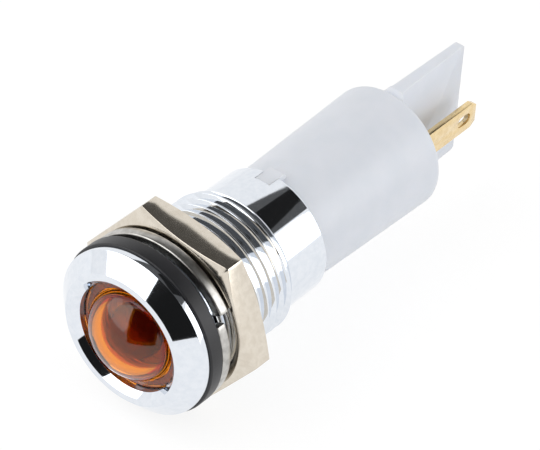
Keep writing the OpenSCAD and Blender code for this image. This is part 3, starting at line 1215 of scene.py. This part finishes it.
@dataclass
class Terminals:
    """The two gold-plated blades, with an oval hole near the tip."""

    blade_w: float = 2.8
    blade_t: float = 0.6
    blade_x: float = 2.6
    rear_face: float = 34.1
    tip_w: float = 1.9
    tip_l: float = 0.65
    hole_w: float = 1.1
    hole_l: float = 1.8
    hole_from_tip: float = 1.75
    leg_low: float = -0.25
    leg_high: float = 0.95
    root_edge: float = 0.1
    shoulder_edge: float = 0.2
    tip_edge: float = 0.15
    bevel: float = 0.06

    def blade(self) -> bpy.types.Object:
        """Stamps one terminal: blade, leg and hole.

        Returns:
            The terminal, at x = 0.
        """
        low, high = span("live_tab")
        w, tip = self.blade_w / 2, self.tip_w / 2
        side = -self.blade_t / 2
        corners = rounded(
            [
                (self.rear_face, -w, self.root_edge),
                (high.y - self.tip_l, -w, self.shoulder_edge),
                (high.y, -tip, self.tip_edge),
                (high.y, tip, self.tip_edge),
                (high.y - self.tip_l, w, self.shoulder_edge),
                (self.rear_face, w, self.root_edge),
                (self.rear_face, self.leg_high),
                (low.y, self.leg_high, self.root_edge),
                (low.y, self.leg_low, self.root_edge),
                (self.rear_face, self.leg_low),
            ],
            steps=4,
        )
        piece = plate(
            "live_blade",
            [Vector((side, p.x, p.y)) * MM for p in corners],
            Vector((self.blade_t * MM, 0, 0)),
        )
        middle = high.y - self.hole_from_tip
        ends = (self.hole_l - self.hole_w) / 2
        r = self.hole_w / 2
        ring = arc((middle + ends, 0.0), r, -90, 90, 14) + arc((middle - ends, 0.0), r, 90, 270, 14)
        punch = plate(
            "punch",
            [Vector((side * 2, y, z)) * MM for y, z in ring],
            Vector((self.blade_t * 2 * MM, 0, 0)),
        )
        return eased(combine(piece, punch, Way.CUT), self.bevel, angle=40.0)

    def build(self) -> None:
        """Builds the live blade and its copy on the neutral side."""
        gold = GOLD.material()
        live = self.blade()
        deselect_all()
        neutral = live.copy()
        neutral.data = live.data.copy()
        neutral.name = "neutral_blade"
        bpy.context.scene.collection.objects.link(neutral)
        for piece, node, x in ((live, "live_tab", self.blade_x), (neutral, "neutral_tab", -self.blade_x)):
            piece.matrix_world = Matrix.Translation(Vector((x * MM, 0, 0)))
            smooth(settle(piece))
            dress(piece, gold)
            stand_for(piece, node, "lamp")


@dataclass
class Circuit:
    """The circuit inside the housing: its CAD nodes in their real finishes."""

    wire_metal: str = "#cfd2d6"

    def banded(self, node: str, name: str, ground: str, bands: tuple) -> bpy.types.Material:
        """Makes the lacquer of a component that lies along the axis.

        Args:
            node: the CAD node.
            name: the material's name.
            ground: the body's colour.
            bands: (place along the node, colour).

        Returns:
            The material.
        """
        low, high = span(node)
        middle = (low + high) / 2
        finish = Banded(
            name,
            ground,
            self.wire_metal,
            bands,
            low.y,
            high.y - low.y,
            middle.x,
            middle.z,
        )
        return finish.material()

    def build(self) -> None:
        """Dresses the board, its components, the leads and the solder."""
        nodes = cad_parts
        tinned, solder = TINNED.material(), SOLDER.material()
        for node in ("led_anode", "led_cathode"):
            dress(nodes[node], tinned)
        for node in ("led_solder", "board_solder", "tab_solder"):
            dress(nodes[node], solder)
        dress(nodes["circuit_board"], LAMINATE.material())
        dress(nodes["rectifier_diode"], EPOXY_BLACK.material())
        dress(nodes["smoothing_capacitor"], SLEEVE.material())
        rings = ((0.3, "#d08020"), (0.42, "#d08020"), (0.54, "#c8b020"), (0.7, "#b8912f"))
        for node in ("dropper_resistor_1", "dropper_resistor_2"):
            dress(nodes[node], self.banded(node, "resistor_lacquer", "#8fb7cf", rings))
        LOG.info("circuit dressed in its CAD form")


# ---- Studio -------------------------------------------------------------------------------


@dataclass(frozen=True)
class Card:
    """A flat card round the lamp: a white reflector, a black flag or the face of a softbox."""

    name: str
    azimuth: float
    elevation: float
    distance: float
    width: float
    height: float
    level: float
    tint: str = "#ffffff"

    def frame(self, centre: Vector) -> Matrix:
        """Place of the card, facing the centre.

        Args:
            centre: what the card faces, in metres.

        Returns:
            Its matrix; local Z points to the centre.
        """
        a, e = math.radians(self.azimuth), math.radians(self.elevation)
        way = Vector((math.cos(e) * math.sin(a), -math.cos(e) * math.cos(a), math.sin(e)))
        turn = way.to_track_quat("Z", "Y").to_matrix().to_4x4()
        return Matrix.Translation(centre + way * self.distance * MM) @ turn

    def build(self, centre: Vector) -> bpy.types.Object:
        """Stands the card up; only metal, gloss and glass see it.

        Args:
            centre: what the card faces, in metres.

        Returns:
            The card.
        """
        deselect_all()
        bpy.ops.mesh.primitive_plane_add(size=1.0)
        card = bpy.context.object
        card.name = self.name
        size = Matrix.Diagonal((self.width * MM, self.height * MM, 1.0, 1.0))
        card.matrix_world = self.frame(centre) @ size
        settle(card)
        material, tree = new_material(self.name)
        glow = add_node(
            tree, "ShaderNodeEmission", {"Color": linear(self.tint), "Strength": self.level}
        )
        finish_material(tree, glow)
        dress(card, material)
        card.visible_camera = False
        card.visible_diffuse = False
        card.visible_shadow = False
        card.visible_volume_scatter = False
        return card


# Azimuth, elevation, distance, width, height and brightness, in degrees and millimetres.
SOFTBOXES = (
    Card("front_softbox", -36, 38, 400, 520, 330, 1.25),
    Card("side_softbox", 118, 17, 400, 330, 260, 1.5),
)
FLAGS = (
    Card("camera_flag", 32, 30, 300, 330, 480, 0.012),
    Card("ceiling_flag", 200, 78, 330, 700, 420, 0.1),
    Card("rear_flag", 163, 50, 300, 150, 90, 0.015),
)


@dataclass
class Studio:
    """White floor, soft lamps, black flags and the camera."""

    target: Vector = field(default_factory=lambda: Vector((-0.404, 17.976, 0.26)))
    azimuth: float = 37.166
    elevation: float = 40.833
    roll: float = 4.358
    distance: float = 352.337
    lens: float = 266.667
    floor_size: float = 6000.0
    floor_gap: float = 0.7
    fill: float = 0.6

    def camera(self) -> bpy.types.Object:
        """Sets up the camera at the viewing angle.

        Returns:
            The camera.
        """
        a, e = math.radians(self.azimuth), math.radians(self.elevation)
        way = Vector((math.cos(e) * math.sin(a), -math.cos(e) * math.cos(a), math.sin(e)))
        place = (self.target + way * self.distance) * MM
        data = bpy.data.cameras.new("camera")
        data.lens = self.lens
        data.sensor_width = 36.0
        data.clip_start = 0.01
        data.clip_end = 50.0
        camera = bpy.data.objects.new("camera", data)
        bpy.context.scene.collection.objects.link(camera)
        camera.rotation_mode = "QUATERNION"
        camera.location = place
        camera.rotation_quaternion = (-way).to_track_quat("-Z", "Y") @ Matrix.Rotation(
            math.radians(self.roll), 3, "Z"
        ).to_quaternion()
        bpy.context.scene.camera = camera
        return camera

    def background_rays(self, tree: bpy.types.NodeTree):
        """Adds the share of rays that see the white background: camera, gloss and glass.

        Args:
            tree: the node tree.

        Returns:
            A socket that is 1 for those rays and 0 for the rest.
        """
        path = add_node(tree, "ShaderNodeLightPath")
        seen = add_node(
            tree,
            "ShaderNodeMath",
            {"operation": "ADD"},
            {0: path.outputs["Is Camera Ray"], 1: path.outputs["Is Glossy Ray"]},
        )
        seen = add_node(
            tree,
            "ShaderNodeMath",
            {"operation": "ADD", "use_clamp": True},
            {0: seen.outputs[0], 1: path.outputs["Is Transmission Ray"]},
        )
        return seen.outputs[0]

    def world(self) -> None:
        """Lights the scene evenly, with a white background behind it."""
        world = bpy.data.worlds.new("studio")
        bpy.context.scene.world = world
        world.use_nodes = True
        tree = world.node_tree
        tree.nodes.clear()
        strength = add_node(
            tree,
            "ShaderNodeMix",
            {"data_type": "FLOAT", 2: self.fill, 3: 1.0},
            {0: self.background_rays(tree)},
        )
        background = add_node(
            tree, "ShaderNodeBackground", {"Color": (1, 1, 1, 1)}, {"Strength": strength.outputs[0]}
        )
        add_node(tree, "ShaderNodeOutputWorld", links={"Surface": background.outputs[0]})

    def floor(self) -> None:
        """Lays a white floor that stays white to the camera and keeps the lamp's soft shadow."""
        deselect_all()
        bpy.ops.mesh.primitive_plane_add(size=self.floor_size * MM)
        floor = bpy.context.object
        floor.name = "floor"
        floor.matrix_world = Matrix.Translation((0, 0, CAD_BOX[0][2] - self.floor_gap * MM))
        settle(floor)
        material, tree = new_material("white_paper")
        seen = self.background_rays(tree)
        colour = add_node(
            tree,
            "ShaderNodeMix",
            {"data_type": "RGBA", 6: (0.85, 0.86, 0.88, 1), 7: (0.25, 0.25, 0.25, 1)},
            {0: seen},
        )
        paper = add_node(tree, "ShaderNodeBsdfDiffuse", links={"Color": colour.outputs[2]})
        glow_level = add_node(tree, "ShaderNodeMath", {"operation": "MULTIPLY", 1: 0.82}, {0: seen})
        glow = add_node(
            tree, "ShaderNodeEmission", {"Color": (1, 1, 1, 1)}, {"Strength": glow_level.outputs[0]}
        )
        both = add_node(tree, "ShaderNodeAddShader", links={0: paper.outputs[0], 1: glow.outputs[0]})
        finish_material(tree, both)
        dress(floor, material)

    def lamp(self, card: Card) -> None:
        """Hangs a soft area lamp in the place of a card.

        Args:
            card: its place, size and brightness.
        """
        deselect_all()
        bpy.ops.object.light_add(type="AREA")
        lamp = bpy.context.object
        lamp.name = card.name
        lamp.matrix_world = card.frame(self.target * MM)
        lamp.data.shape = "RECTANGLE"
        lamp.data.size = card.width * MM
        lamp.data.size_y = card.height * MM
        lamp.data.energy = card.level * math.pi * lamp.data.size * lamp.data.size_y
        lamp.data.color = linear(card.tint)[:3]
        lamp.visible_camera = False

    def build(self) -> None:
        """Sets up floor, world, lamps, flags and camera."""
        scene = bpy.context.scene
        scene.view_settings.view_transform = "Standard"
        self.world()
        self.floor()
        for softbox in SOFTBOXES:
            self.lamp(softbox)
        for flag in FLAGS:
            flag.build(self.target * MM)
        self.camera()
        LOG.info("studio ready")


def main() -> None:
    """Builds every sub-assembly in order."""
    logging.basicConfig(level=logging.INFO, format="%(name)s: %(message)s")
    studio = Studio()
    studio.build()
    MetalBody().build()
    PanelFixing().build()
    LensUnit().build()
    RearHousing().build()
    Terminals().build()
    Circuit().build()


if __name__ == "__main__":
    main()
